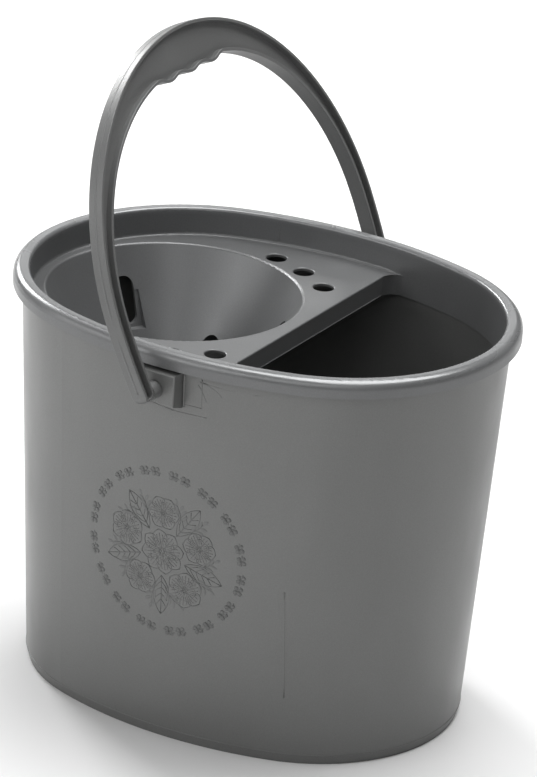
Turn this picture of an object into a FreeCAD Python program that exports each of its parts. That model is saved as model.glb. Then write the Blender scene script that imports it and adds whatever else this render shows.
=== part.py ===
import FreeCAD, Part

import math
import os

import Sketcher

# An oval mop bucket in three mouldings: the bucket, a wringer that hangs on its top edge, and a
# bail handle whose stub pins turn in the bucket's ears.
#
# Frame: origin on the floor at the middle of the base, +Z up, X along the oval's long axis with
# the wringer cone at -X and the open well at +X, Y across, with the bail's pivots at -Y and +Y.
#
# Every outline of the bucket and the wringer is the same four-centre oval, moved in or out. An
# oval is two end arcs and two flatter side arcs that meet at tangents, and all of its offsets
# share the same four centres. So a wall is four turns of one section: the section is drawn as
# (outset from the rim's outer edge, height) and revolved about each centre in turn.

DIMENSIONS = {
    # oval of the wringer's rim, outside
    "rim_half_length": 180.0,
    "rim_half_width": 139.0,
    "end_radius": 131.0,
    "rim_height": 290.0,
    # bucket
    "seat_height": 287.9,
    "seat_inset": 6.1,
    "foot_height": 7.0,
    "foot_inset": 21.1,
    "foot_draft": 1.7,
    "foot_width": 3.0,
    "foot_step": 0.7,
    "floor_under": 5.0,
    "floor_top": 7.5,
    "floor_corner": 2.0,
    "floor_join": 2.5,
    "wall": 2.1,
    "flange_reach": 2.8,
    "flange_depth": 3.5,
    "flange_face": 0.8,
    "flange_slope": 1.2,
    # ears that carry the bail
    "ear_width": 30.0,
    "ear_top": 276.6,
    "ear_bottom": 255.0,
    "ear_ramp": 4.5,
    "ear_face": 143.0,
    "ear_edge_round": 1.0,
    # wringer rim, collar and deck
    "lip_height": 278.7,
    "lip_wall": 2.0,
    "crest_radius": 6.0,
    "crest_inner": 9.0,
    "crest_inner_radius": 2.5,
    "deck_top": 270.2,
    "deck_thickness": 2.2,
    "deck_inset": 12.3,
    "skirt_bottom": 255.6,
    "skirt_inset": 13.0,
    "skirt_wall": 1.8,
    "collar_lean": 0.6,
    "deck_edge": 27.0,
    "deck_edge_round": 0.9,
    # wringer cone
    "cone_centre": -72.6,
    "cone_radius": 88.5,
    "cone_run": 0.6,
    "cone_depth": 92.0,
    "cone_wall": 2.0,
    "cone_mouth_round": 2.5,
    "cone_floor_round": 10.0,
    "cone_flange": 93.0,
    # water ways through the cone
    "chute_top": 28.0,
    "chute_bottom": 52.0,
    "chute_step": 5.0,
    "chute_half_width": 11.0,
    "chute_slot_width": 16.0,
    "chute_slot_top": 19.0,
    "chute_slot_bottom": 50.0,
    "chute_slot_corner": 6.0,
    "low_slot_width": 13.0,
    "low_slot_top": 52.0,
    "low_slot_bottom": 84.0,
    "cone_drain": 8.0,
    "cone_drain_circle": 17.0,
    # drain holes in the deck, from the middle of the base
    "deck_hole": 14.5,
    "deck_hole_round": 0.9,
    "first_hole_x": 4.6,
    "first_hole_y": 70.6,
    "middle_hole_x": -20.5,
    "middle_hole_y": 86.4,
    "last_hole_x": -48.7,
    "last_hole_y": 97.1,
    "near_holes_shift_x": 3.0,
    "near_holes_shift_y": 8.0,
    # bail
    "pivot_height": 264.5,
    "bail_lean": 24.0,
    "arch_centre": 47.3,
    "arch_outer": 165.0,
    "arch_inner": 154.0,
    "leg_radius": 373.0,
    "shoulder_radius": 137.5,
    "grip_height": 179.3,
    "knuckle_pitch": 26.9,
    "knuckle_radius": 18.0,
    "finger_radius": 18.35,
    "flank_radius": 14.0,
    "bail_width": 11.0,
    "bail_web": 2.2,
    "bail_flange": 2.2,
    "bail_edge_round": 0.5,
    "boss_diameter": 12.5,
    "boss_gap": 0.4,
    "pin_diameter": 8.0,
    "bore_diameter": 8.16,
    "pin_end": 135.0,
    "socket_end": 134.0,
}

# Features of one piece that are joined together share this much, so that they fuse.
OVERLAP = 0.5

WATER_WAYS = 3
OUTER_DRAINS = 6

doc = FreeCAD.newDocument("mop_bucket")
sheet = doc.addObject("Spreadsheet::Sheet", "Sizes")
for row, (alias, value) in enumerate(DIMENSIONS.items(), start=1):
    sheet.set(f"A{row}", alias)
    sheet.set(f"B{row}", str(value))
    sheet.setAlias(f"B{row}", alias)
doc.recompute()


def size(alias):
    return float(sheet.get(alias))


# ---------------------------------------------------------------- the oval

END_X = "(Sizes.rim_half_length - Sizes.end_radius)"
SIDE_RADIUS = (
    f"(({END_X}^2 + Sizes.rim_half_width^2 - Sizes.end_radius^2)"
    " / (2 * (Sizes.rim_half_width - Sizes.end_radius)))"
)
SIDE_DROP = f"({SIDE_RADIUS} - Sizes.rim_half_width)"
END_TURN = f"(2 * atan({SIDE_DROP} / {END_X}))"

end_x = size("rim_half_length") - size("end_radius")
side_radius = (end_x**2 + size("rim_half_width") ** 2 - size("end_radius") ** 2) / (
    2 * (size("rim_half_width") - size("end_radius"))
)
side_drop = side_radius - size("rim_half_width")
join_angle = math.atan2(side_drop, end_x)


def side_y(x, outset):
    """Half width of the oval at x, where x lies between the two joins."""
    return math.sqrt((side_radius + outset) ** 2 - x**2) - side_drop


def oval_arcs(outset):
    """The four arcs of the oval, anticlockwise from the +X end."""
    end = size("end_radius") + outset
    side = side_radius + outset
    return [
        arc((end_x, 0), end, -join_angle, join_angle),
        arc((0, -side_drop), side, join_angle, math.pi - join_angle),
        arc((-end_x, 0), end, math.pi - join_angle, math.pi + join_angle),
        arc((0, side_drop), side, math.pi + join_angle, 2 * math.pi - join_angle),
    ]


def wall_outset(height):
    """Outer face of the bucket's wall, which draws in evenly all round towards the base."""
    rise = (size("seat_height") - height) / (size("seat_height") - size("foot_height"))
    return -size("seat_inset") - rise * (size("foot_inset") - size("seat_inset"))


# ---------------------------------------------------------------- sketch helpers


def point(x, y):
    return FreeCAD.Vector(x, y, 0)


def arc(centre, radius, start, end):
    circle = Part.Circle(point(*centre), FreeCAD.Vector(0, 0, 1), radius)
    return Part.ArcOfCircle(circle, start, end)


def segment(a, b):
    return Part.LineSegment(point(*a), point(*b))


def polygon(corners):
    return [segment(a, b) for a, b in zip(corners, corners[1:] + corners[:1])]


def rectangle(low, high):
    return polygon([low, (high[0], low[1]), high, (low[0], high[1])])


def rounded_rectangle(low, high, radius):
    (x0, y0), (x1, y1) = low, high
    quarter = math.pi / 2
    centres = [(x0 + radius, y0 + radius), (x1 - radius, y0 + radius)]
    centres += [(x1 - radius, y1 - radius), (x0 + radius, y1 - radius)]
    corners = [
        arc(centre, radius, (turn + 2) * quarter, (turn + 3) * quarter)
        for turn, centre in enumerate(centres)
    ]
    shapes = []
    for here, after in zip(corners, corners[1:] + corners[:1]):
        shapes.append(here)
        if (here.EndPoint - after.StartPoint).Length > 1e-6:
            shapes.append(Part.LineSegment(here.EndPoint, after.StartPoint))
    return shapes


def origin_feature(body, role):
    return next(item for item in body.Origin.OriginFeatures if item.Role == role)


def new_body(name):
    body = doc.addObject("PartDesign::Body", name)
    body.Label = name
    return body


def new_sketch(body, name, plane, shapes, offset=(0, 0, 0), bind=None):
    """A sketch on one of the body's own planes. bind gives expressions for its offset."""
    sketch = body.newObject("Sketcher::SketchObject", name)
    sketch.AttachmentSupport = [(origin_feature(body, plane), "")]
    sketch.MapMode = "FlatFace"
    sketch.AttachmentOffset = FreeCAD.Placement(FreeCAD.Vector(*offset), FreeCAD.Rotation())
    for axis, expression in (bind or {}).items():
        sketch.setExpression(f"AttachmentOffset.Base.{axis}", expression)
    sketch.addGeometry(shapes, False)
    return sketch


def circles(body, name, plane, centres, diameter, **place):
    """A sketch of equal circles whose diameter follows one cell of the sheet."""
    shapes = [Part.Circle(point(*c), FreeCAD.Vector(0, 0, 1), size(diameter) / 2) for c in centres]
    sketch = new_sketch(body, name, plane, shapes, **place)
    for index in range(len(shapes)):
        number = sketch.addConstraint(Sketcher.Constraint("Diameter", index, size(diameter)))
        sketch.setExpression(f"Constraints[{number}]", f"Sizes.{diameter}")
    return sketch


def feature(body, kind, name, sketch, length=None, symmetric=False, reverse=False):
    """A pad or a pocket whose length is an expression."""
    item = body.newObject(f"PartDesign::{kind}", name)
    item.Profile = sketch
    item.Reversed = reverse
    if symmetric:
        item.SideType = "Symmetric"
    item.setExpression("Length", length)
    sketch.Visibility = False
    return item


def turn(body, name, sketch, angle=None):
    """Revolve a section about its sketch's vertical axis, half of the angle each way."""
    item = body.newObject("PartDesign::Revolution", name)
    item.Profile = sketch
    item.ReferenceAxis = (sketch, ["V_Axis"])
    if angle:
        item.Midplane = True
        item.setExpression("Angle", angle)
    return item


def mirror(body, name, originals, plane):
    doc.recompute()
    item = body.newObject("PartDesign::Mirrored", name)
    item.Originals = originals
    item.MirrorPlane = (origin_feature(body, plane), [""])
    body.Tip = item
    return item


def round_edges(body, name, radius, chosen):
    """Fillet each edge of the body so far whose ends and middle all pass the test."""
    doc.recompute()
    base = body.Tip
    names = []
    for number, edge in enumerate(base.Shape.Edges, start=1):
        middle = edge.valueAt((edge.FirstParameter + edge.LastParameter) / 2)
        ends = [vertex.Point for vertex in edge.Vertexes]
        if all(chosen(spot) for spot in [middle] + ends):
            names.append(f"Edge{number}")
    if not names:
        raise RuntimeError(f"{name} found no edge to round")
    item = body.newObject("PartDesign::Fillet", name)
    item.Base = (base, names)
    item.setExpression("Radius", f"Sizes.{radius}")
    return item


def is_near(a, b):
    return abs(a - b) < 1e-3


def oval_ring(body, name, section):
    """Carry a section all the way round the oval. section(radius) gives the section's lines and
    arcs with the rim's outer edge at that radius from the sketch's vertical axis."""
    end = new_sketch(
        body, f"{name}_end", "XZ_Plane", section(size("end_radius")), bind={"x": END_X}
    )
    end_turn = turn(body, f"{name}_end_turn", end, END_TURN)
    side = new_sketch(
        body, f"{name}_side", "YZ_Plane", section(side_radius), bind={"x": f"-{SIDE_DROP}"}
    )
    side_turn = turn(body, f"{name}_side_turn", side, f"180 deg - {END_TURN}")
    mirror(body, f"{name}_far_side", [side_turn], "XZ_Plane")
    mirror(body, f"{name}_far_end", [end_turn], "YZ_Plane")


# ---------------------------------------------------------------- bucket


def bucket_section(radius):
    """Foot, wall and the small flange at the wall's top edge."""
    wall, seat, step = size("wall"), size("seat_height"), size("foot_step")
    foot, floor = size("foot_height"), size("floor_top")
    tip = size("flange_reach") - size("seat_inset")
    flange_low = seat - size("flange_depth")
    flange_root = flange_low - size("flange_slope")
    foot_base = -size("foot_inset") - size("foot_draft")
    foot_back = foot_base - size("foot_width")
    floor_edge = foot_back - size("floor_join")
    corner = size("floor_corner")
    corner_face = wall_outset(floor + corner) - wall
    points = [
        (foot_base, 0),
        (wall_outset(foot) - step, foot - step),
        (wall_outset(foot), foot),
        (wall_outset(flange_root), flange_root),
        (tip, flange_low),
        (tip, flange_low + size("flange_face")),
        (wall_outset(seat), seat),
        (wall_outset(seat) - wall, seat),
        (corner_face, floor + corner),
        (corner_face - corner, floor),
        (floor_edge, floor),
        (floor_edge, size("floor_under")),
        (foot_back, size("floor_under")),
        (foot_back, 0),
    ]
    return polygon([(radius + outset, height) for outset, height in points])


def ear_section():
    """Side view of one ear, from inside the wall out to its face, in (Y, Z)."""
    root = size("rim_half_width") + wall_outset(size("ear_top")) - size("wall") / 2
    low_root = size("rim_half_width") + wall_outset(size("ear_bottom")) - size("wall") / 2
    return polygon(
        [
            (root, size("ear_top")),
            (size("ear_face"), size("ear_top")),
            (size("ear_face"), size("ear_bottom")),
            (low_root, size("ear_bottom") - size("ear_ramp")),
        ]
    )


def make_bucket():
    body = new_body("bucket_shell")
    oval_ring(body, "wall", bucket_section)
    ring_inset = sum(size(f"foot_{part}") for part in ("inset", "draft", "width"))
    floor_outset = OVERLAP - ring_inset - size("floor_join")
    floor = new_sketch(
        body, "floor_outline", "XY_Plane", oval_arcs(floor_outset), bind={"z": "Sizes.floor_under"}
    )
    feature(body, "Pad", "floor", floor, "Sizes.floor_top - Sizes.floor_under")
    ear = new_sketch(body, "ear_section", "YZ_Plane", ear_section())
    ear_pad = feature(body, "Pad", "ear", ear, "Sizes.ear_width", symmetric=True)
    mirror(body, "far_ear", [ear_pad], "XZ_Plane")
    bore = circles(
        body,
        "pivot_bore_circle",
        "XZ_Plane",
        [(0, size("pivot_height"))],
        "bore_diameter",
        offset=(0, 0, size("ear_face")),
    )
    socket = feature(body, "Pocket", "near_socket", bore, "Sizes.ear_face - Sizes.socket_end")
    mirror(body, "far_socket", [socket], "XZ_Plane")
    round_edges(body, "ear_edges", "ear_edge_round", on_ear_edge)
    return body


def on_ear_edge(spot):
    """Edges of an ear's face, apart from the mouth of its bore."""
    from_bore = math.hypot(spot.x, spot.z - size("pivot_height"))
    return is_near(abs(spot.y), size("ear_face")) and from_bore > size("bore_diameter")


# ---------------------------------------------------------------- wringer


def rim_section(radius):
    """Rolled rim, an upside-down channel over the bucket's edge, with the collar and skirt that
    hang from its inner side."""
    top = size("rim_height")
    lip = size("lip_wall")
    crest = size("crest_radius")
    under = crest - lip
    inner = size("crest_inner")
    soft = size("crest_inner_radius")
    skirt_back = size("skirt_wall") - size("skirt_inset")
    seat_end = -inner - size("collar_lean")
    return [
        segment((radius, size("lip_height")), (radius, top - crest)),
        arc((radius - crest, top - crest), crest, 0, math.pi / 2),
        segment((radius - crest, top), (radius - inner, top)),
        arc((radius - inner, top - soft), soft, math.pi / 2, math.pi),
        segment((radius - inner - soft, top - soft), (radius - size("deck_inset"), size("deck_top"))),
        segment(
            (radius - size("deck_inset"), size("deck_top")),
            (radius - size("skirt_inset"), size("skirt_bottom")),
        ),
        segment(
            (radius - size("skirt_inset"), size("skirt_bottom")),
            (radius + skirt_back, size("skirt_bottom")),
        ),
        segment((radius + skirt_back, size("skirt_bottom")), (radius + seat_end, top - lip)),
        segment((radius + seat_end, top - lip), (radius - crest, top - lip)),
        arc((radius - crest, top - crest), under, 0, math.pi / 2),
        segment((radius - lip, top - crest), (radius - lip, size("lip_height"))),
        segment((radius - lip, size("lip_height")), (radius, size("lip_height"))),
    ]


def deck_outline():
    """The deck under the wringer end: the oval cut off straight, with the cone's mouth open."""
    outset = OVERLAP - size("deck_inset")
    edge = size("deck_edge")
    side = side_radius + outset
    edge_y = side_y(edge, outset)
    edge_angle = math.atan2(edge_y + side_drop, edge)
    mouth = Part.Circle(
        point(size("cone_centre"), 0), FreeCAD.Vector(0, 0, 1), size("cone_flange") - OVERLAP
    )
    return [
        arc((0, -side_drop), side, edge_angle, math.pi - join_angle),
        oval_arcs(outset)[2],
        arc((0, side_drop), side, math.pi + join_angle, 2 * math.pi - edge_angle),
        segment((edge, -edge_y), (edge, edge_y)),
        mouth,
    ]


def cone_lines():
    """Centres, tangent points and levels of the cone's section in (radius, height)."""
    run = size("cone_run")
    slant = math.hypot(run, 1)
    outward = (1 / slant, -run / slant)
    mouth = size("cone_mouth_round")
    bend = size("cone_floor_round")
    floor = depth("cone_depth")

    def along(centre, distance):
        return (centre[0] + distance * outward[0], centre[1] + distance * outward[1])

    mouth_height = size("deck_top") - mouth
    mouth_centre = (cone_inner(mouth) + mouth / outward[0], mouth_height)
    bend_centre = (cone_inner(size("cone_depth") - bend) - bend / outward[0], floor + bend)
    return {
        "lean": math.atan2(outward[1], outward[0]),
        "thickness": size("cone_wall") / outward[0],
        "mouth_centre": mouth_centre,
        "mouth_end": along(mouth_centre, -mouth),
        "bend_centre": bend_centre,
        "bend_end": along(bend_centre, bend),
        "outer_end": along(bend_centre, bend + size("cone_wall")),
        "floor": floor,
    }


def cone_inner(below_deck):
    """Radius of the cone's inner face at a depth below the deck's top."""
    return size("cone_radius") - size("cone_run") * below_deck


def cone_section():
    """The cone's wall and floor, with a rounded mouth and a rounded floor."""
    line = cone_lines()
    top, flange = size("deck_top"), size("cone_flange")
    under = top - size("deck_thickness")
    bend, wall = size("cone_floor_round"), size("cone_wall")
    centre, floor = line["bend_centre"], line["floor"]
    outer_top = (cone_inner(size("deck_thickness")) + line["thickness"], under)
    quarter = math.pi / 2
    return [
        segment((flange, top), (line["mouth_centre"][0], top)),
        arc(line["mouth_centre"], size("cone_mouth_round"), quarter, math.pi + line["lean"]),
        segment(line["mouth_end"], line["bend_end"]),
        arc(centre, bend, -quarter, line["lean"]),
        segment((centre[0], floor), (0, floor)),
        segment((0, floor), (0, floor - wall)),
        segment((0, floor - wall), (centre[0], floor - wall)),
        arc(centre, bend + wall, -quarter, line["lean"]),
        segment(line["outer_end"], outer_top),
        segment(outer_top, (flange, under)),
        segment((flange, under), (flange, top)),
    ]


def cone_hollow_section():
    """The space inside the cone, up to the level of the deck."""
    line = cone_lines()
    centre, floor = line["bend_centre"], line["floor"]
    lid = line["mouth_end"][1]
    return [
        segment((0, floor), (centre[0], floor)),
        arc(centre, size("cone_floor_round"), -math.pi / 2, line["lean"]),
        segment(line["bend_end"], line["mouth_end"]),
        segment(line["mouth_end"], (0, lid)),
        segment((0, lid), (0, floor)),
    ]


def depth(alias):
    """Height of a level that the sheet gives as a depth below the deck's top."""
    return size("deck_top") - size(alias)


def pattern_round_cone(body, name, originals, axis_sketch):
    doc.recompute()
    spread = body.newObject("PartDesign::PolarPattern", name)
    spread.Originals = originals
    spread.Axis = (axis_sketch, ["N_Axis"])
    spread.Angle = 360
    spread.Occurrences = WATER_WAYS
    body.Tip = spread


def chute_section(offset):
    """Side view of one chute in (Y, Z): its panel leans less than the cone, so it comes free of
    the cone at the chute's top and stands a step behind it at the bottom. offset moves the panel
    out and the bottom down, from the chute's inside to its outside."""
    top, bottom = depth("chute_top"), depth("chute_bottom") - offset
    high = cone_inner(size("chute_top")) + offset
    low = cone_inner(size("chute_bottom")) + size("chute_step") + offset
    inside = cone_inner(size("chute_bottom")) / 2
    return polygon([(-high, top), (-low, bottom), (-inside, bottom), (-inside, top)])


def add_water_ways(body):
    """Three shallow chutes let into the cone, each with a rounded slot, between three slots lower
    down."""
    at_axis = {"x": "Sizes.cone_centre"}
    across_axis = {"z": "Sizes.cone_centre"}
    outside = new_sketch(
        body, "chute_outside", "YZ_Plane", chute_section(size("cone_wall")), bind=across_axis
    )
    outer_width = "2 * (Sizes.chute_half_width + Sizes.cone_wall)"
    block = feature(body, "Pad", "chute_block", outside, outer_width, symmetric=True)
    axis = new_sketch(
        body, "cone_axis", "XY_Plane", [Part.Point(point(0, 0))], bind={"x": "Sizes.cone_centre"}
    )
    pattern_round_cone(body, "chute_blocks", [block], axis)

    hollow = new_sketch(body, "cone_hollow", "XZ_Plane", cone_hollow_section(), bind=at_axis)
    clear = body.newObject("PartDesign::Groove", "cone_clear")
    clear.Profile = hollow
    clear.ReferenceAxis = (hollow, ["V_Axis"])

    inside = new_sketch(body, "chute_inside", "YZ_Plane", chute_section(0), bind=across_axis)
    inner_width = "2 * Sizes.chute_half_width"
    chute = feature(body, "Pocket", "chute_hollow", inside, inner_width, symmetric=True)
    slot_half = size("chute_slot_width") / 2
    slot = new_sketch(
        body,
        "chute_slot_outline",
        "XZ_Plane",
        rounded_rectangle(
            (-slot_half, depth("chute_slot_bottom")),
            (slot_half, depth("chute_slot_top")),
            size("chute_slot_corner"),
        ),
        bind=at_axis,
    )
    chute_slot = feature(body, "Pocket", "chute_slot", slot, "Sizes.cone_radius", reverse=True)
    low_half = size("low_slot_width") / 2
    low = new_sketch(
        body,
        "low_slot_outline",
        "XZ_Plane",
        rounded_rectangle(
            (-low_half, depth("low_slot_bottom")), (low_half, depth("low_slot_top")), low_half
        ),
        bind=at_axis,
    )
    low_slot = feature(body, "Pocket", "low_slot", low, "Sizes.cone_radius")
    pattern_round_cone(body, "water_ways", [chute, chute_slot, low_slot], axis)


def deck_hole_centres():
    """Three drain holes on each side of the cone. Those at -Y stand a little further out."""
    centres = []
    for hole in ("first", "middle", "last"):
        x, y = size(f"{hole}_hole_x"), size(f"{hole}_hole_y")
        centres.append((x, y))
        centres.append((x + size("near_holes_shift_x"), -y - size("near_holes_shift_y")))
    return centres


def on_hole_edge(spot):
    """Upper edges of the deck's drain holes."""
    radii = [math.hypot(spot.x - x, spot.y - y) for x, y in deck_hole_centres()]
    on_rim = any(is_near(radius, size("deck_hole") / 2) for radius in radii)
    return is_near(spot.z, size("deck_top")) and on_rim


def on_deck_edge(spot):
    return is_near(spot.z, size("deck_top")) and is_near(spot.x, size("deck_edge"))


def make_wringer():
    body = new_body("wringer_insert")
    oval_ring(body, "rim", rim_section)
    deck = new_sketch(
        body,
        "deck_outline",
        "XY_Plane",
        deck_outline(),
        bind={"z": "Sizes.deck_top - Sizes.deck_thickness"},
    )
    feature(body, "Pad", "deck", deck, "Sizes.deck_thickness")
    apron_y = side_y(size("deck_edge"), -size("deck_inset"))
    apron_low = (size("deck_edge") - size("skirt_wall"), -apron_y)
    apron = new_sketch(
        body,
        "apron_outline",
        "XY_Plane",
        rectangle(apron_low, (size("deck_edge"), apron_y)),
        bind={"z": "Sizes.skirt_bottom"},
    )
    apron_height = "Sizes.deck_top - Sizes.skirt_bottom - Sizes.deck_thickness / 2"
    feature(body, "Pad", "apron", apron, apron_height)
    cone = new_sketch(
        body, "cone_section", "XZ_Plane", cone_section(), bind={"x": "Sizes.cone_centre"}
    )
    turn(body, "cone", cone)
    add_water_ways(body)

    above = {"z": "Sizes.deck_top"}
    holes = circles(
        body, "deck_hole_circles", "XY_Plane", deck_hole_centres(), "deck_hole", bind=above
    )
    feature(body, "Pocket", "deck_holes", holes, "2 * Sizes.deck_thickness")

    drain_centres = [(0, 0)] + [
        (
            size("cone_drain_circle") * math.cos(step * 2 * math.pi / OUTER_DRAINS),
            size("cone_drain_circle") * math.sin(step * 2 * math.pi / OUTER_DRAINS),
        )
        for step in range(OUTER_DRAINS)
    ]
    low = {"x": "Sizes.cone_centre", "z": "Sizes.deck_top - Sizes.cone_depth"}
    drains = circles(body, "cone_drain_circles", "XY_Plane", drain_centres, "cone_drain", bind=low)
    feature(body, "Pocket", "cone_drains", drains, "2 * Sizes.cone_wall")
    round_edges(body, "deck_hole_edges", "deck_hole_round", on_hole_edge)
    round_edges(body, "deck_edge_edges", "deck_edge_round", on_deck_edge)
    return body


# ---------------------------------------------------------------- bail


def circle_meeting(centre_a, radius_a, centre_b, radius_b):
    """The meeting point of two circles that lies to the right of the line from b to a."""
    dx, dy = centre_a[0] - centre_b[0], centre_a[1] - centre_b[1]
    gap = math.hypot(dx, dy)
    along = (radius_b**2 - radius_a**2 + gap**2) / (2 * gap)
    across = math.sqrt(radius_b**2 - along**2)
    return (
        centre_b[0] + (along * dx + across * dy) / gap,
        centre_b[1] + (along * dy - across * dx) / gap,
    )


def angle_to(centre, target):
    return math.atan2(target[1] - centre[1], target[0] - centre[0])


def arch_half(inset):
    """Right half of the bail's outline in (Y, height above the pivots), drawn in by inset: from
    the crown down the outer arc and the flatter leg, round the foot, up the leg's inner side, over
    the shoulder, and along the grip's knuckles and finger hollows to the middle. Neighbouring arcs
    are tangent."""
    centre = (0, size("arch_centre"))
    outer, inner = size("arch_outer"), size("arch_inner")
    half_depth = (outer - inner) / 2
    leg = size("leg_radius")
    leg_centre = (outer - leg, size("arch_centre"))
    foot_turn = -math.asin(size("arch_centre") / (leg - half_depth))
    foot = (leg_centre[0] + (leg - half_depth) * math.cos(foot_turn), 0)
    knuckle, finger, flank = (size(f"{name}_radius") for name in ("knuckle", "finger", "flank"))
    pitch = size("knuckle_pitch")
    knuckle_y = size("grip_height") + knuckle
    last_knuckle = (pitch, knuckle_y)
    finger_centre = (
        pitch / 2,
        knuckle_y - math.sqrt((finger + knuckle) ** 2 - (pitch / 2) ** 2),
    )
    shoulder = size("shoulder_radius")
    shoulder_centre = (inner - shoulder, size("arch_centre"))
    flank_centre = circle_meeting(
        last_knuckle, flank + knuckle, shoulder_centre, shoulder - flank
    )
    flank_start = angle_to(shoulder_centre, flank_centre)
    flank_end = angle_to(flank_centre, last_knuckle)
    finger_start = angle_to(finger_centre, last_knuckle)
    finger_end = math.pi - finger_start
    down = -math.pi / 2
    return [
        (centre, outer - inset, 0, math.pi / 2),
        (leg_centre, leg - inset, foot_turn, 0),
        (foot, half_depth - inset, foot_turn - math.pi, foot_turn),
        (leg_centre, leg - 2 * half_depth + inset, foot_turn, 0),
        (shoulder_centre, shoulder + inset, 0, flank_start),
        (flank_centre, flank + inset, flank_start, flank_end),
        (last_knuckle, knuckle - inset, finger_start - math.pi, flank_end - math.pi),
        (finger_centre, finger + inset, finger_start, finger_end),
        ((0, knuckle_y), knuckle - inset, down, finger_end - math.pi),
    ]


def arch_outline(inset=0.0):
    """The whole outline: each arc of the right half and its mirror image."""
    shapes = []
    for (y, height), radius, start, end in arch_half(inset):
        shapes.append(arc((y, height), radius, start, end))
        shapes.append(arc((-y, height), radius, math.pi - end, math.pi - start))
    return shapes


def foot_trim():
    """In (X, Z) about the pivot: all that lies below it and outside the foot's round end."""
    half, beyond = size("bail_width") / 2, size("bail_width")
    return [
        arc((0, 0), half, math.pi, 2 * math.pi),
        segment((half, 0), (beyond, 0)),
        segment((beyond, 0), (beyond, -beyond)),
        segment((beyond, -beyond), (-beyond, -beyond)),
        segment((-beyond, -beyond), (-beyond, 0)),
        segment((-beyond, 0), (-half, 0)),
    ]


def on_bail_edge(spot):
    """Edges of the bail's flanges, above the feet."""
    return is_near(abs(spot.x), size("bail_width") / 2) and spot.z > -OVERLAP


def make_bail():
    """Drawn upright about the pivot line, then leaned towards the wringer end."""
    body = new_body("bail_handle")
    arch = new_sketch(body, "arch", "YZ_Plane", arch_outline())
    feature(body, "Pad", "arch_bar", arch, "Sizes.bail_width", symmetric=True)
    half_width = "Sizes.bail_width / 2"
    recess_depth = "(Sizes.bail_width - Sizes.bail_web) / 2"
    for side, name in ((1, "front"), (-1, "back")):
        recess = new_sketch(
            body,
            f"{name}_recess_outline",
            "YZ_Plane",
            arch_outline(size("bail_flange")),
            bind={"z": f"{side} * {half_width}"},
        )
        feature(body, "Pocket", f"{name}_recess", recess, recess_depth, reverse=side < 0)
    trim = new_sketch(body, "foot_trim", "XZ_Plane", foot_trim())
    feature(body, "Pocket", "round_feet", trim, "3 * Sizes.arch_outer", symmetric=True)
    round_edges(body, "flange_edges", "bail_edge_round", on_bail_edge)

    leg_depth = size("arch_outer") - size("arch_inner")
    leg_inner = size("leg_radius") - leg_depth
    leg_inside = math.sqrt(leg_inner**2 - size("arch_centre") ** 2)
    leg_inside += size("arch_outer") - size("leg_radius")
    stub_root = leg_inside + size("bail_flange") / 2
    bosses = []
    for name, diameter, reach in (
        ("boss", "boss_diameter", "Sizes.ear_face + Sizes.boss_gap"),
        ("pin", "pin_diameter", "Sizes.pin_end"),
    ):
        ring = circles(
            body, f"{name}_circle", "XZ_Plane", [(0, 0)], diameter, offset=(0, 0, stub_root)
        )
        length = f"{stub_root} - ({reach})"
        bosses.append(feature(body, "Pad", name, ring, length, reverse=True))
    mirror(body, "far_stub", bosses, "XZ_Plane")
    lean = FreeCAD.Rotation(FreeCAD.Vector(0, 1, 0), -size("bail_lean"))
    body.Placement = FreeCAD.Placement(FreeCAD.Vector(0, 0, size("pivot_height")), lean)
    body.setExpression("Placement.Base.z", "Sizes.pivot_height")
    return body


bodies = [make_bucket(), make_wringer(), make_bail()]
doc.recompute()

for item in doc.Objects:
    if "Invalid" in item.State or "Error" in item.State:
        raise RuntimeError(f"{item.Name} did not compute: {item.State}")

os.makedirs("parts", exist_ok=True)
for body in bodies:
    shape = body.Shape
    if shape.isNull() or not shape.isValid() or len(shape.Solids) != 1:
        raise RuntimeError(f"{body.Label} is not one valid solid")
    shape.exportStep(f"parts/{body.Label}.step")
    print(body.Label, "volume", round(shape.Volume / 1000, 1), "cm3")
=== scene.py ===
import math

import bmesh
import bpy
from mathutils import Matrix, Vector


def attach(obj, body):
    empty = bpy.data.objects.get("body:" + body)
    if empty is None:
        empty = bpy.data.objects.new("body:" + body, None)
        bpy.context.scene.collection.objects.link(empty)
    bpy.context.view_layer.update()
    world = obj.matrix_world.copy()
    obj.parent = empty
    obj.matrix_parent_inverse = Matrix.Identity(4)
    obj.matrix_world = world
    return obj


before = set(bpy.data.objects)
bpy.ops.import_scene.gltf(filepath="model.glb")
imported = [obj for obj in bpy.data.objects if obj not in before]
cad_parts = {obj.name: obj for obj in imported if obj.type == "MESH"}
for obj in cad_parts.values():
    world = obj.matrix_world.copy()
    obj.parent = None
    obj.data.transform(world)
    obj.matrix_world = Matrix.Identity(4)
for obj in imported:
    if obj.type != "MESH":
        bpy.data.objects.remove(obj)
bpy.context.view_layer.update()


# ---------------------------------------------------------------- materials


def new_material(name):
    material = bpy.data.materials.new(name)
    material.use_nodes = True
    nodes, links = material.node_tree.nodes, material.node_tree.links
    shader = next(n for n in nodes if n.type == "BSDF_PRINCIPLED")
    return material, nodes, links, shader


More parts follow.
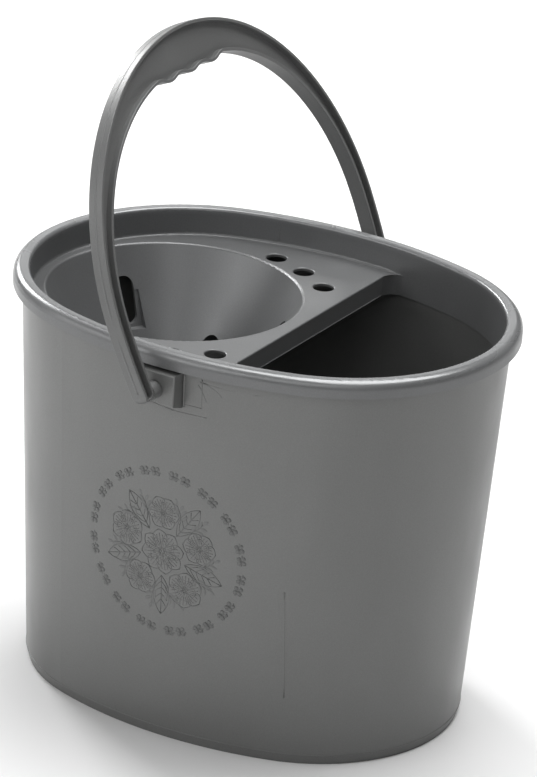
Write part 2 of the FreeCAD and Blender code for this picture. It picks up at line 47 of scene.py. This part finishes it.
def moulded_plastic(name, grey, roughness, metallic, streaks, painted_highlight_from=None):
    """Polypropylene with a metallic pigment: fine flakes, soft flow streaks, scuffs, satin skin.
    From a given height up, it is painted paler as a painted highlight along the rim's crest, and
    made smoother."""
    material, nodes, links, shader = new_material(name)
    shader.inputs["Metallic"].default_value = metallic
    shader.inputs["Specular IOR Level"].default_value = 0.5
    place = nodes.new("ShaderNodeTexCoord")

    def noise_at(scale, detail, stretch=(1, 1, 1)):
        mapping = nodes.new("ShaderNodeMapping")
        mapping.inputs["Scale"].default_value = stretch
        links.new(place.outputs["Object"], mapping.inputs["Vector"])
        texture = nodes.new("ShaderNodeTexNoise")
        texture.inputs["Scale"].default_value = scale
        texture.inputs["Detail"].default_value = detail
        links.new(mapping.outputs["Vector"], texture.inputs["Vector"])
        return texture.outputs["Fac"]

    def spread(source, low, high, dark, light):
        ramp = nodes.new("ShaderNodeMapRange")
        for key, value in zip(
            ("From Min", "From Max", "To Min", "To Max"), (low, high, dark, light)
        ):
            ramp.inputs[key].default_value = value
        links.new(source, ramp.inputs["Value"])
        return ramp.outputs["Result"]

    def product(a, b):
        node = nodes.new("ShaderNodeMath")
        node.operation = "MULTIPLY"
        links.new(a, node.inputs[0])
        links.new(b, node.inputs[1])
        return node.outputs[0]

    flakes = spread(noise_at(1400, 2), 0.3, 0.7, 0.93, 1.07)
    cloud = spread(noise_at(9, 3), 0.3, 0.7, 1 - streaks, 1 + streaks)
    flow = spread(noise_at(14, 4, (1, 1, 0.12)), 0.35, 0.65, 1 - streaks, 1 + streaks)
    tone = product(product(flakes, cloud), flow)
    worn = spread(noise_at(26, 6, (1, 1, 0.4)), 0.35, 0.7, roughness - 0.05, roughness + 0.07)
    # Painted highlight: above this height the colour is 1.45 times paler, and the roughness is
    # lower.
    if painted_highlight_from:
        parts = nodes.new("ShaderNodeSeparateXYZ")
        links.new(place.outputs["Object"], parts.inputs["Vector"])
        tone = product(tone, spread(parts.outputs["Z"], painted_highlight_from, painted_highlight_from + 0.005, 1.0, 1.45))
        worn = product(worn, spread(parts.outputs["Z"], painted_highlight_from, painted_highlight_from + 0.005, 1.0, 0.72))
    colour = nodes.new("ShaderNodeVectorMath")
    colour.operation = "SCALE"
    colour.inputs[0].default_value = grey
    links.new(tone, colour.inputs["Scale"])
    links.new(colour.outputs["Vector"], shader.inputs["Base Color"])

    links.new(worn, shader.inputs["Roughness"])

    skin = nodes.new("ShaderNodeBump")
    skin.inputs["Strength"].default_value = 0.10
    skin.inputs["Distance"].default_value = 0.0002
    links.new(noise_at(900, 3), skin.inputs["Height"])
    links.new(skin.outputs["Normal"], shader.inputs["Normal"])
    return material


bucket_plastic = moulded_plastic("bucket_plastic", (0.158, 0.160, 0.157), 0.36, 0.3, 0.02)
wringer_plastic = moulded_plastic(
    "wringer_plastic", (0.158, 0.161, 0.163), 0.35, 0.32, 0.02, painted_highlight_from=0.2850
)
bail_plastic = moulded_plastic("bail_plastic", (0.150, 0.152, 0.151), 0.43, 0.26, 0.03)
# The relief is the same plastic as the wall. Its petals are painted paler as painted highlight, and
# its leaves and lines darker as painted shade, for relief shading too fine to render.
relief_petal_painted_highlight = moulded_plastic("relief_petal_painted_highlight", (0.172, 0.174, 0.171), 0.48, 0.2, 0.03)
relief_leaf_painted_shade = moulded_plastic("relief_leaf_painted_shade", (0.142, 0.144, 0.142), 0.36, 0.35, 0.03)
relief_line_painted_shade = moulded_plastic("relief_line_painted_shade", (0.128, 0.130, 0.128), 0.34, 0.4, 0.03)

for node, material in (
    ("bucket_shell", bucket_plastic),
    ("wringer_insert", wringer_plastic),
    ("bail_handle", bail_plastic),
):
    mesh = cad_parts[node].data
    mesh.materials.clear()
    mesh.materials.append(material)


# ---------------------------------------------------------------- the oval and the wall

# The bucket's four-centre oval, as in the CAD, in metres.
END_X, END_RADIUS, HALF_WIDTH = 0.049, 0.131, 0.139
SIDE_RADIUS = (END_X**2 + HALF_WIDTH**2 - END_RADIUS**2) / (2 * (HALF_WIDTH - END_RADIUS))
SIDE_DROP = SIDE_RADIUS - HALF_WIDTH
JOIN = math.atan2(SIDE_DROP, END_X)
OVAL_ARCS = (
    (Vector((END_X, 0, 0)), END_RADIUS, -JOIN, JOIN),
    (Vector((0, -SIDE_DROP, 0)), SIDE_RADIUS, JOIN, math.pi - JOIN),
    (Vector((-END_X, 0, 0)), END_RADIUS, math.pi - JOIN, math.pi + JOIN),
    (Vector((0, SIDE_DROP, 0)), SIDE_RADIUS, math.pi + JOIN, 2 * math.pi - JOIN),
)

# The bucket's wall draws in evenly from its seat to its foot.
SEAT_HEIGHT, FOOT_HEIGHT, SEAT_INSET, WALL_DRAW_IN = 0.2879, 0.007, 0.0061, 0.015

# The wringer's deck and apron, and the collar's inner face at three heights.
DECK_TOP, SKIRT_BOTTOM, CREST_FOOT, DECK_EDGE = 0.2702, 0.2556, 0.2875, 0.027
COLLAR_AT_DECK, COLLAR_AT_SKIRT, COLLAR_AT_CREST = -0.0123, -0.0130, -0.0115
APRON_CORNER = 0.010

PIVOT_HEIGHT, BAIL_LEAN = 0.2645, math.radians(24)
UP = Vector((0, 0, 1))


def wall_outset(z):
    """Outer face of the bucket's wall at a height, measured from the rim's outer edge."""
    return -SEAT_INSET - (SEAT_HEIGHT - z) / (SEAT_HEIGHT - FOOT_HEIGHT) * WALL_DRAW_IN


def side_half_width(x, outset):
    return math.sqrt((SIDE_RADIUS + outset) ** 2 - x**2) - SIDE_DROP


def heading_vector(angle):
    return Vector((math.cos(angle), math.sin(angle), 0))


def on_wall(across, z, lift=0.0):
    """A point of the -Y wall, its distance along the wall from the middle given, and how far
    it stands off the wall. Returns the point and the wall's outward normal."""
    radius = SIDE_RADIUS + wall_outset(z)
    turn = across / radius
    outward = Vector((math.sin(turn), -math.cos(turn), 0))
    spot = Vector((0, SIDE_DROP, z)) + outward * (radius + lift)
    return spot, outward


def oval_frames(outset, z, start, end, steps):
    """Frames (place, outward, up) along the oval between two angles of travel, in radians about
    each arc's own centre, anticlockwise. The travel passes the +Y side, the -X end, the -Y side."""
    frames = []
    for centre, radius, low, high in OVAL_ARCS[1:]:
        low, high = max(low, start), min(high, end)
        for step in range(1 if frames else 0, steps + 1):
            outward = heading_vector(low + (high - low) * step / steps)
            frames.append((centre + outward * (radius + outset) + UP * z, outward, UP))
    return frames


# ---------------------------------------------------------------- meshes


def add_piece(name, vertices, faces, material, body):
    mesh = bpy.data.meshes.new(name)
    mesh.from_pydata([tuple(v) for v in vertices], [], faces)
    working = bmesh.new()
    working.from_mesh(mesh)
    bmesh.ops.recalc_face_normals(working, faces=working.faces)
    working.to_mesh(mesh)
    working.free()
    mesh.shade_smooth()
    mesh.materials.append(material)
    piece = bpy.data.objects.new(name, mesh)
    bpy.context.scene.collection.objects.link(piece)
    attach(piece, body)
    return piece


def crisp_edges(piece, degrees):
    """Keep edges sharper than an angle crisp."""
    mesh = piece.data
    working = bmesh.new()
    working.from_mesh(mesh)
    for edge in working.edges:
        if len(edge.link_faces) == 2 and edge.calc_face_angle() > math.radians(degrees):
            edge.smooth = False
    working.to_mesh(mesh)
    working.free()


def ring_faces(rings, size, closed=False):
    """Faces of a tube of rings with size points each. Its ends are capped unless it is closed."""
    faces = []
    for ring in range(rings if closed else rings - 1):
        here, after = ring * size, (ring + 1) % rings * size
        for k in range(size):
            m = (k + 1) % size
            faces.append((here + k, after + k, after + m, here + m))
    if not closed:
        faces.append(tuple(range(size)))
        faces.append(tuple(range((rings - 1) * size, rings * size)))
    return faces


def swept(frames, section, closed=False):
    """A closed section carried along frames of (place, side, up)."""
    vertices = [place + side * a + up * b for place, side, up in frames for a, b in section]
    return vertices, ring_faces(len(frames), len(section), closed)


def merged(parts):
    vertices, faces = [], []
    for part_vertices, part_faces in parts:
        base = len(vertices)
        vertices.extend(part_vertices)
        faces.extend(tuple(base + index for index in face) for face in part_faces)
    return vertices, faces


def bead(width, height, sunk=0.0002, steps=4):
    """Section of a low rounded line that stands on a surface."""
    top = [
        (-width / 2 * math.cos(math.pi * k / steps), height * math.sin(math.pi * k / steps))
        for k in range(steps + 1)
    ]
    return top + [(width / 2, -sunk), (-width / 2, -sunk)]


def wall_curve(points, width, height):
    """A raised line on the -Y wall through (across, height) points."""
    spots = [on_wall(*point) for point in points]
    frames = []
    for k, (spot, outward) in enumerate(spots):
        along = spots[min(k + 1, len(spots) - 1)][0] - spots[max(k - 1, 0)][0]
        frames.append((spot, along.cross(outward).normalized(), outward))
    return swept(frames, bead(width, height))


def wall_line(points, width, height, steps=10):
    """A raised line on the -Y wall with straight stretches between (across, height) points."""
    parts = []
    for (x0, z0), (x1, z1) in zip(points, points[1:]):
        stretch = [
            (x0 + (x1 - x0) * k / steps, z0 + (z1 - z0) * k / steps) for k in range(steps + 1)
        ]
        parts.append(wall_curve(stretch, width, height))
    return merged(parts)


# ---------------------------------------------------------------- wringer details


def add_deck_corner():
    """Rounded inner corner between the deck and the collar, which fades out along the web at
    each end of the deck's edge."""
    radius, steps, sunk = 0.0020, 8, 0.0004
    tip, fade, least = DECK_EDGE + 0.0085, 0.012, 0.08
    lean = (COLLAR_AT_CREST - COLLAR_AT_DECK) / (CREST_FOOT - DECK_TOP)
    curve = []
    for k in range(steps + 1):
        angle = -math.pi / 2 * (1 - k / steps)
        a, b = radius * (math.cos(angle) - 1), radius * (math.sin(angle) + 1)
        curve.append((a + lean * b, b))
    section = curve + [(sunk, radius), (sunk, -sunk), (-radius, -sunk)]
    start = math.acos(tip / (SIDE_RADIUS + COLLAR_AT_DECK))
    frames = oval_frames(COLLAR_AT_DECK, DECK_TOP, start, 2 * math.pi - start, 90)
    tapered = []
    for place, outward, up in frames:
        share = min(1.0, max(least, (tip - place.x) / fade))
        tapered.append((place, outward * share, up * share))
    vertices, faces = swept(tapered, section)
    add_piece("deck_corner", vertices, faces, wringer_plastic, "wringer")


def apron_corner_ring(side, z, outset, radius, steps=14):
    """Plan of the webbed corner between the deck's edge and the collar, at one height."""
    x, sunk, back = DECK_EDGE + radius, outset + 0.0004, DECK_EDGE - 0.0012
    y = side_half_width(x, outset - radius)
    last = math.atan2(y + SIDE_DROP, x)
    ring = []
    for k in range(steps + 1):
        angle = math.pi + (last - math.pi) * k / steps
        ring.append((x + radius * math.cos(angle), y + radius * math.sin(angle)))
    far_x = ring[-1][0]
    ring.append((far_x, side_half_width(far_x, sunk)))
    ring.append((back, side_half_width(DECK_EDGE, sunk)))
    ring.append((back, ring[0][1]))
    return [Vector((px, side * py, z)) for px, py in ring]


def add_apron_corners():
    """Webbed corners at the two ends of the deck's edge, just under the deck's own top."""
    edge_round, radius, steps = 0.0009, APRON_CORNER, 5
    top = DECK_TOP - 0.00003
    for side, name in ((-1, "apron_corner_near"), (1, "apron_corner_far")):
        rings = [apron_corner_ring(side, SKIRT_BOTTOM, COLLAR_AT_SKIRT, radius)]
        for k in range(steps + 1):
            turn = math.pi / 2 * k / steps
            z = top - edge_round + edge_round * math.sin(turn)
            reach = radius + edge_round * (1 - math.cos(turn))
            rings.append(apron_corner_ring(side, z, COLLAR_AT_DECK, reach))
        vertices = [v for ring in rings for v in ring]
        faces = ring_faces(len(rings), len(rings[0]))
        piece = add_piece(name, vertices, faces, wringer_plastic, "wringer")
        crisp_edges(piece, 35)


def add_apron_lip():
    """Thin rounded lip along the lower edge of the apron."""
    half, steps = side_half_width(DECK_EDGE, COLLAR_AT_SKIRT) - APRON_CORNER, 40
    forward = Vector((1, 0, 0))
    frames = []
    for k in range(steps + 1):
        across = -half + 2 * half * k / steps
        frames.append((Vector((DECK_EDGE, across, SKIRT_BOTTOM + 0.0005)), UP, forward))
    vertices, faces = swept(frames, bead(0.0009, 0.0004))
    add_piece("apron_lip", vertices, faces, wringer_plastic, "wringer")


def add_ejector_mark():
    """Round witness mark of an ejector on the ledge at the cone's outer side."""
    centre, radius, steps = Vector((-0.1655, -0.006, DECK_TOP)), 0.0017, 32
    frames = []
    for k in range(steps):
        outward = heading_vector(2 * math.pi * k / steps)
        frames.append((centre + outward * radius, outward, UP))
    vertices, faces = swept(frames, bead(0.0004, 0.00012), closed=True)
    add_piece("ejector_mark", vertices, faces, wringer_plastic, "wringer")


# ---------------------------------------------------------------- bucket details


def add_foot_line():
    """Fine moulded edge round the top of the foot."""
    outset, steps = wall_outset(FOOT_HEIGHT), 48
    frames = []
    for centre, radius, low, high in OVAL_ARCS:
        for step in range(steps):
            outward = heading_vector(low + (high - low) * step / steps)
            place = centre + outward * (radius + outset) + UP * FOOT_HEIGHT
            frames.append((place, UP, outward))
    vertices, faces = swept(frames, bead(0.0009, 0.0003), closed=True)
    add_piece("foot_line", vertices, faces, bucket_plastic, "bucket")


def add_ear_lines():
    """Witness lines of the mould's inserts round the near ear."""
    lines = [
        [(0.0155, 0.2535), (0.0290, 0.2535), (0.0290, 0.2745)],
        [(-0.0190, 0.2535), (-0.0155, 0.2535)],
        [(-0.0130, 0.2490), (0.0080, 0.2470), (0.0330, 0.2475)],
    ]
    parts = [wall_line(points, 0.0006, 0.00018) for points in lines]
    vertices, faces = merged(parts)
    add_piece("ear_witness_lines", vertices, faces, bucket_plastic, "bucket")
    vertices, faces = wall_line([(0.0158, 0.2515), (0.0158, 0.2765)], 0.0014, 0.0007)
    add_piece("ear_root_bead", vertices, faces, bucket_plastic, "bucket")


def add_wear():
    """Hairline scratches beside the near ear, and a faint flow line low on the wall."""
    scratches = [
        [(0.0274, 0.2727), (0.0322, 0.2716), (0.0369, 0.2699), (0.0404, 0.2676), (0.0435, 0.2648)],
        [(0.0296, 0.2725), (0.0385, 0.2714), (0.0475, 0.2708), (0.0690, 0.2714)],
        [(0.0262, 0.2702), (0.0290, 0.2664), (0.0325, 0.2590)],
    ]
    vertices, faces = merged([wall_curve(points, 0.0003, 0.0001) for points in scratches])
    add_piece("scratches", vertices, faces, bucket_plastic, "bucket")
    vertices, faces = wall_line([(0.0912, 0.1300), (0.0937, 0.0500)], 0.0012, 0.00008)
    add_piece("flow_line", vertices, faces, bucket_plastic, "bucket")


def add_collar_seam():
    """Faint upright seam in the far side of the collar."""
    x, steps, start, rise = -0.0606, 8, DECK_TOP + 0.0030, 0.0130
    lean = COLLAR_AT_CREST - COLLAR_AT_DECK
    frames = []
    for k in range(steps + 1):
        share = k / steps
        outset = COLLAR_AT_DECK + lean * share
        radius = SIDE_RADIUS + outset
        inward = Vector((-x, -math.sqrt(radius**2 - x**2), 0)).normalized()
        spot = Vector((x, side_half_width(x, outset), start + rise * share))
        frames.append((spot, UP.cross(inward).normalized(), inward))
    vertices, faces = swept(frames, bead(0.0005, 0.00008))
    add_piece("collar_seam", vertices, faces, wringer_plastic, "wringer")


# The ornament is a wreath round a posy, in low relief on the -Y wall.

ORNAMENT_ACROSS, ORNAMENT_HEIGHT = 0.003, 0.1405
LINE_WIDTH, LINE_HEIGHT = 0.00055, 0.00022


def turned(root, heading, along, across):
    """Ornament coordinates of a point given along and across a leaf that starts at a root."""
    c, s = math.cos(heading), math.sin(heading)
    return root[0] + along * c - across * s, root[1] + along * s + across * c


def placed(radius, angle):
    return radius * math.cos(angle), radius * math.sin(angle)


def on_ornament(point):
    return ORNAMENT_ACROSS + point[0], ORNAMENT_HEIGHT + point[1]


def half_breadth(share, width, belly):
    """Half the breadth of a leaf at a share of its length. A belly over 1 moves it to the tip."""
    return width / 2 * math.sin(math.pi * min(share, 1.0) ** belly) ** 0.8


def blade(root, heading, length, width, lift, belly=1.0, rows=7):
    """The domed face of a leaf or a petal."""
    sides = (-1.0, -0.5, 0.0, 0.5, 1.0)
    vertices = []
    for row in range(rows + 1):
        share = row / rows
        half = half_breadth(share, width, belly)
        for side in sides:
            rise = lift * (1 - side * side) * math.sin(math.pi * share) ** 0.5 - 0.00008
            point = turned(root, heading, share * length, side * half)
            vertices.append(on_wall(*on_ornament(point), rise)[0])
    across = len(sides)
    faces = [
        (row * across + k, row * across + k + 1, (row + 1) * across + k + 1, (row + 1) * across + k)
        for row in range(rows)
        for k in range(across - 1)
    ]
    return vertices, faces


def line(points, width=LINE_WIDTH, height=LINE_HEIGHT):
    return wall_curve([on_ornament(point) for point in points], width, height)


def outline(root, heading, length, width, belly=1.0, steps=9):
    """The two edges of a leaf or a petal."""
    edges = []
    for side in (-1, 1):
        points = [
            turned(root, heading, length * k / steps, side * half_breadth(k / steps, width, belly))
            for k in range(steps + 1)
        ]
        edges.append(line(points))
    return edges


def petal(root, heading, length, width, lift):
    """A petal's face, and its edges with three rays from the throat."""
    faces = [blade(root, heading, length, width, lift, 1.5)]
    lines = outline(root, heading, length, width, 1.5)
    for side, start, end in ((-0.42, 0.40, 0.74), (0.0, 0.30, 0.82), (0.42, 0.40, 0.74)):
        points = [
            turned(root, heading, length * share, side * half_breadth(share, width, 1.5))
            for share in (start, (2 * start + end) / 3, (start + 2 * end) / 3, end)
        ]
        lines.append(line(points, 0.0004, lift + 0.00010))
    return faces, lines


def veined_leaf(root, heading, length, width, veins=4):
    """A leaf drawn by its edges, a midrib and slanting veins."""
    lines = outline(root, heading, length, width)
    lines.append(line([turned(root, heading, length * k / 6, 0) for k in range(7)]))
    for k in range(veins):
        start = 0.15 + 0.62 * k / veins
        end = start + 0.16
        for side in (-1, 1):
            reach = 0.8 * side * half_breadth(end, width, 1.0)
            points = [
                turned(root, heading, length * start, 0),
                turned(root, heading, length * (start + end) / 2, reach * 0.55),
                turned(root, heading, length * end, reach),
            ]
            lines.append(line(points, 0.0004, 0.00018))
    return lines


def frond(root, heading, length, pairs, size):
    """Paired leaflets along a bent stem."""
    faces = []
    bend = 0.45
    for k in range(pairs + 1):
        share = (k + 1) / (pairs + 1)
        way = heading + bend * share
        spot = turned(root, way, length * share, 0)
        for side in (-1, 1) if k < pairs else (0,):
            leaflet = size * (1.1 - 0.4 * share)
            faces.append(blade(spot, way + side * 0.7, leaflet, size * 0.36, 0.0003))
    stem = [turned(root, heading + bend * k / 8, length * k / 8, 0) for k in range(9)]
    return faces, [line(stem)]


def bloom(centre, radius, petals, turn):
    """A double flower with a beaded eye."""
    faces, lines = [], []
    for layer, share in ((0, 1.0), (1, 0.6)):
        for k in range(petals):
            heading = turn + 2 * math.pi * (k + layer / 2) / petals
            root = turned(centre, heading, radius * 0.1, 0)
            breadth = radius * share * 1.75 * math.sin(math.pi / petals)
            lift = 0.00022 + 0.00014 * layer
            more_faces, more_lines = petal(root, heading, radius * share * 0.9, breadth, lift)
            faces += more_faces
            lines += more_lines
    for k in range(7):
        root = turned(centre, 2 * math.pi * k / 6, radius * 0.12 if k < 6 else 0.0, 0)
        faces.append(blade(root, turn, radius * 0.12, radius * 0.11, 0.0006))
    return faces, lines


def add_ornament():
    motifs, ring = 32, 0.0585
    clusters, stalks = [], []
    for k in range(motifs):
        pairing = 0.022 if k % 2 else -0.022
        angle = 2 * math.pi * (k + 0.5) / motifs - pairing
        centre = placed(ring, angle)
        for turn in range(4):
            heading = angle + math.pi / 4 + math.pi / 2 * turn
            root = turned(centre, heading, 0.0004, 0)
            clusters.append(blade(root, heading, 0.0034, 0.0026, 0.0005, 1.4))
            stalks += outline(root, heading, 0.0034, 0.0026, 1.4, 6)
        for side in (-1, 1):
            tail = turned(centre, angle + math.pi / 2, side * 0.0022, 0)
            heading = angle + side * math.pi / 2 - 0.5
            clusters.append(blade(tail, heading, 0.0026, 0.0013, 0.0004))
    petals, lines = [], []
    flowers = [((0.0, 0.0), 0.0165, 8, 0.2)]
    for k in range(5):
        centre = placed(0.0290 + 0.0012 * (k % 2), math.radians(90 + 72 * k))
        flowers.append((centre, 0.0122 + 0.0012 * (k % 2), 6, 0.5 * k))
    for flower in flowers:
        more_petals, more_lines = bloom(*flower)
        petals += more_petals
        lines += more_lines
    leaflets = []
    for k in range(5):
        angle = math.radians(54 + 72 * k)
        lines += veined_leaf(placed(0.0180, angle), angle, 0.0290, 0.0125)
        for side in (-1, 1):
            root = placed(0.0260, angle + side * 0.12)
            more_faces, more_lines = frond(root, angle + side * 0.55 - 0.2, 0.0150, 3, 0.0075)
            leaflets += more_faces
            lines += more_lines
    # The petals carry painted highlight. The wreath, leaflets and lines carry painted shade.
    for name, parts, material in (
        ("wreath", clusters, relief_leaf_painted_shade),
        ("wreath_lines", stalks, relief_line_painted_shade),
        ("posy_petals", petals, relief_petal_painted_highlight),
        ("posy_leaflets", leaflets, relief_leaf_painted_shade),
        ("posy_lines", lines, relief_line_painted_shade),
    ):
        vertices, faces = merged(parts)
        add_piece(name, vertices, faces, material, "bucket")


# ---------------------------------------------------------------- bail details


def bail_point(y, height):
    """Bail coordinates, upright about the pivots, to the leaning rest pose."""
    return Vector((-height * math.sin(BAIL_LEAN), y, PIVOT_HEIGHT + height * math.cos(BAIL_LEAN)))


def add_bail_ridge():
    """Low rib along the middle of the arch's outer face, from foot to foot. It sinks into the
    face where the arch is widest, so that the bail grows no wider."""
    centre_height, radius, leg, rise = 0.0473, 0.165, 0.373, 0.0002
    widest = radius - 0.00002
    wide = Vector((math.cos(BAIL_LEAN), 0, math.sin(BAIL_LEAN)))
    drop, leg_steps, arch_steps = 0.045, 12, 48
    low = -math.asin(drop / leg)
    half = [(radius - leg, leg, low * (1 - k / leg_steps)) for k in range(leg_steps)]
    half += [(0.0, radius, math.pi / 2 * k / arch_steps) for k in range(arch_steps + 1)]
    right = []
    for across, reach, angle in half:
        reach -= max(0.0, across + reach * math.cos(angle) + rise - widest)
        y = across + reach * math.cos(angle)
        height = centre_height + reach * math.sin(angle)
        right.append((y, height, math.cos(angle), math.sin(angle)))
    path = right + [(-y, h, -c, s) for y, h, c, s in reversed(right[:-1])]
    frames = [
        (bail_point(y, h), wide, bail_point(c, s) - bail_point(0, 0)) for y, h, c, s in path
    ]
    vertices, faces = swept(frames, bead(0.0016, rise))
    add_piece("bail_ridge", vertices, faces, bail_plastic, "bail")


add_deck_corner()
add_apron_corners()
add_apron_lip()
add_ejector_mark()
add_foot_line()
add_ear_lines()
add_wear()
add_collar_seam()
add_ornament()
add_bail_ridge()


# ---------------------------------------------------------------- studio


def studio():
    world = bpy.data.worlds.new("studio")
    bpy.context.scene.world = world
    world.use_nodes = True
    sky = world.node_tree.nodes["Background"]
    sky.inputs["Color"].default_value = (1.0, 1.0, 1.0, 1)
    sky.inputs["Strength"].default_value = 0.02

    floor_mesh = bpy.data.meshes.new("floor")
    half = 40.0
    floor_mesh.from_pydata(
        [(-half, -half, 0), (half, -half, 0), (half, half, 0), (-half, half, 0)], [], [(0, 1, 2, 3)]
    )
    floor = bpy.data.objects.new("floor", floor_mesh)
    bpy.context.scene.collection.objects.link(floor)
    material, nodes, links, shader = new_material("paper_sweep")
    shader.inputs["Roughness"].default_value = 0.85
    shader.inputs["Specular IOR Level"].default_value = 0.2
    grain = nodes.new("ShaderNodeTexNoise")
    grain.inputs["Scale"].default_value = 160
    tint = nodes.new("ShaderNodeMapRange")
    tint.inputs["To Min"].default_value = 0.88
    tint.inputs["To Max"].default_value = 0.91
    links.new(grain.outputs["Fac"], tint.inputs["Value"])
    links.new(tint.outputs["Result"], shader.inputs["Base Color"])

    # Painted light: the paper's far parts glow, more with distance, in place of lamps beyond the
    # reach of the softboxes.
    place = nodes.new("ShaderNodeTexCoord")
    away = nodes.new("ShaderNodeVectorMath")
    away.operation = "LENGTH"
    links.new(place.outputs["Object"], away.inputs[0])
    glow = nodes.new("ShaderNodeMapRange")
    for key, value in (("From Min", 1.5), ("From Max", 3.5), ("To Min", 0.0), ("To Max", 0.95)):
        glow.inputs[key].default_value = value
    links.new(away.outputs["Value"], glow.inputs["Value"])
    shader.inputs["Emission Color"].default_value = (1.0, 1.0, 1.0, 1)
    links.new(glow.outputs["Result"], shader.inputs["Emission Strength"])
    floor_mesh.materials.append(material)


def softbox(name, location, target, width, height, power):
    data = bpy.data.lights.new(name, "AREA")
    data.shape = "RECTANGLE"
    data.size, data.size_y, data.energy = width, height, power
    lamp = bpy.data.objects.new(name, data)
    bpy.context.scene.collection.objects.link(lamp)
    lamp.location = location
    aim = Vector(target) - Vector(location)
    lamp.rotation_euler = aim.to_track_quat("-Z", "Y").to_euler()


studio()
# name, location, height of the point aimed at, width, height and power
for name, location, aim_height, width, height, power in (
    ("overhead", (0.1, 0.5, 2.4), 0.25, 1.8, 1.8, 68),
    ("left_side", (-2.0, -1.3, 1.0), 0.2, 0.9, 1.6, 8),
    ("front_high", (1.0, -2.6, 2.4), 0.2, 2.8, 1.8, 19),
    ("front_left", (-1.2, -2.4, 1.6), 0.2, 1.8, 1.5, 21),
    ("back_left", (-2.2, 1.2, 1.5), 0.25, 0.8, 1.2, 44),
    ("behind_low", (-1.15, 2.05, 1.05), 0.28, 1.2, 0.5, 3),
):
    softbox(name, location, (0, 0, aim_height), width, height, power)

camera = bpy.data.objects.new("camera", bpy.data.cameras.new("camera"))
bpy.context.scene.collection.objects.link(camera)
camera.data.sensor_width = 36
camera.data.lens = 242.9
camera.data.clip_end = 60
camera.location = (1.611, -2.8728, 1.6216)
camera.rotation_euler = [math.radians(turn) for turn in (66.857, -3.542, 30.703)]
bpy.context.scene.camera = camera
bpy.context.scene.view_settings.view_transform = "Standard"
